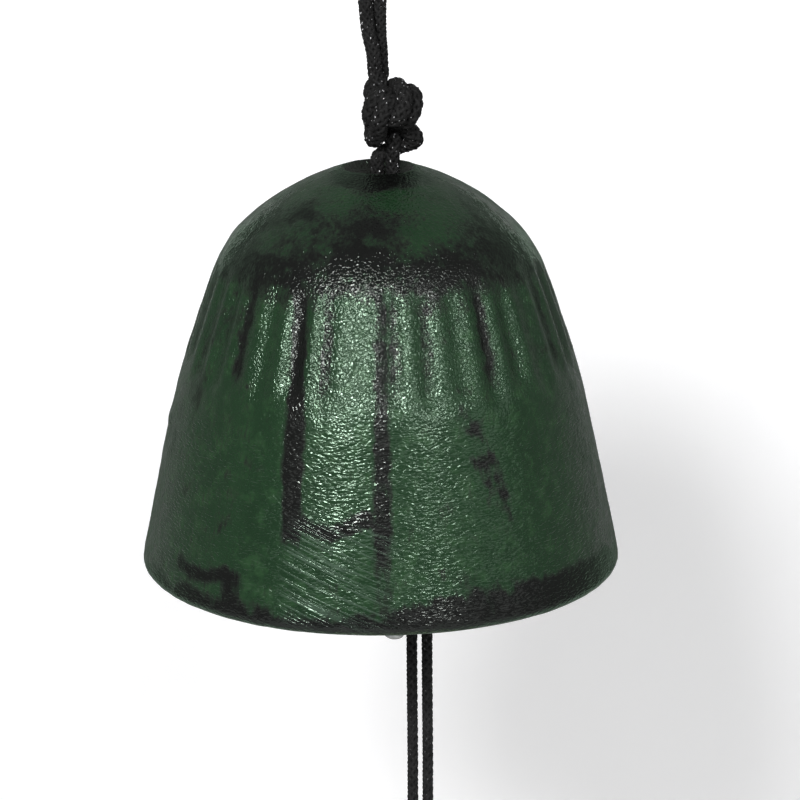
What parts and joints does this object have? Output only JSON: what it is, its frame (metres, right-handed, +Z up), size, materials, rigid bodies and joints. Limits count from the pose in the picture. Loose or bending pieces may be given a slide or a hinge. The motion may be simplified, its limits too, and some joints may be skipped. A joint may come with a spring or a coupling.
{
  "type": "wind bell",
  "caption": "Hanging wind bell: a fluted cast-iron bell on a knotted cord loop, with an iron ring clapper inside and a paper strip on a tail cord to catch the wind.",
  "frame": {"origin": "the point where the cord loop rests on its hook, on the inside of the loop's bend", "axes": "+Z up along the hanging line, +X to the right seen from the front, front faces -Y"},
  "size_m": [0.068, 0.068, 0.2951],
  "materials": {
    "lacquered_iron": "dark green lacquer brushed over rough cast iron, with brown-black streaks, semi-gloss",
    "bare_iron": "black baked iron, satin",
    "hanging_cord": "braided black cord with a faint sheen",
    "tail_cord": "thin braided black cord",
    "paper": "plain uncoated fibrous paper, matt"
  },
  "bodies": {
    "hook_bend": {"hook_loop_bend": "hanging_cord"},
    "loop": {"loop_strand_left": "hanging_cord", "loop_strand_right": "hanging_cord"},
    "knots": {"top_knot": "hanging_cord", "crown_strand_left": "hanging_cord", "crown_strand_right": "hanging_cord", "stop_knot": "hanging_cord"},
    "bell": {"bell_body": "lacquered_iron"},
    "clapper_neck": {"clapper_neck": "hanging_cord"},
    "clapper": {"clapper_strand_front": "hanging_cord", "clapper_strand_back": "hanging_cord", "clapper_ring": "bare_iron", "clapper_knot": "hanging_cord", "tail_hitch": "tail_cord"},
    "tail": {"tail_strand_left": "tail_cord", "tail_strand_right": "tail_cord"},
    "strip_tie": {"strip_knot": "tail_cord", "strip_loop": "tail_cord"},
    "strip": {"paper_strip": "paper"}
  },
  "joints": [
    {"name": "loop_swing", "type": "hinge", "parent": "hook_bend", "child": "loop", "pos_m": [0, 0, -0.002], "axis": [0, 1, 0], "range_deg": [-35, 35], "deforming": ["hook_loop_bend"]},
    {"name": "bell_nod", "type": "hinge", "parent": "loop", "child": "knots", "pos_m": [0.0008, 0, -0.032], "axis": [1, 0, 0], "range_deg": [-35, 35], "deforming": ["loop_strand_left", "loop_strand_right"]},
    {"name": "bell_spin", "type": "hinge", "parent": "knots", "child": "bell", "pos_m": [0.0008, 0, -0.0459], "axis": [0, 0, 1], "continuous": true},
    {"name": "clapper_turn", "type": "hinge", "parent": "knots", "child": "clapper_neck", "pos_m": [0.0013, 0, -0.0594], "axis": [0, 0, 1], "range_deg": [-180, 180]},
    {"name": "clapper_swing", "type": "hinge", "parent": "clapper_neck", "child": "clapper", "pos_m": [0.0013, 0, -0.0634], "axis": [0, 1, 0], "range_deg": [-30, 30], "deforming": ["clapper_neck"]},
    {"name": "tail_swing", "type": "hinge", "parent": "clapper", "child": "tail", "pos_m": [0.0063, 0, -0.10222], "axis": [1, 0, 0], "range_deg": [-30, 30], "deforming": ["tail_strand_left", "tail_strand_right"]},
    {"name": "strip_turn", "type": "hinge", "parent": "tail", "child": "strip_tie", "pos_m": [0.0063, 0, -0.14902], "axis": [0, 0, 1], "range_deg": [-180, 180]},
    {"name": "strip_sway", "type": "hinge", "parent": "strip_tie", "child": "strip", "pos_m": [0.0063, 0, -0.16437], "axis": [0, 1, 0], "range_deg": [-40, 40]}
  ]
}
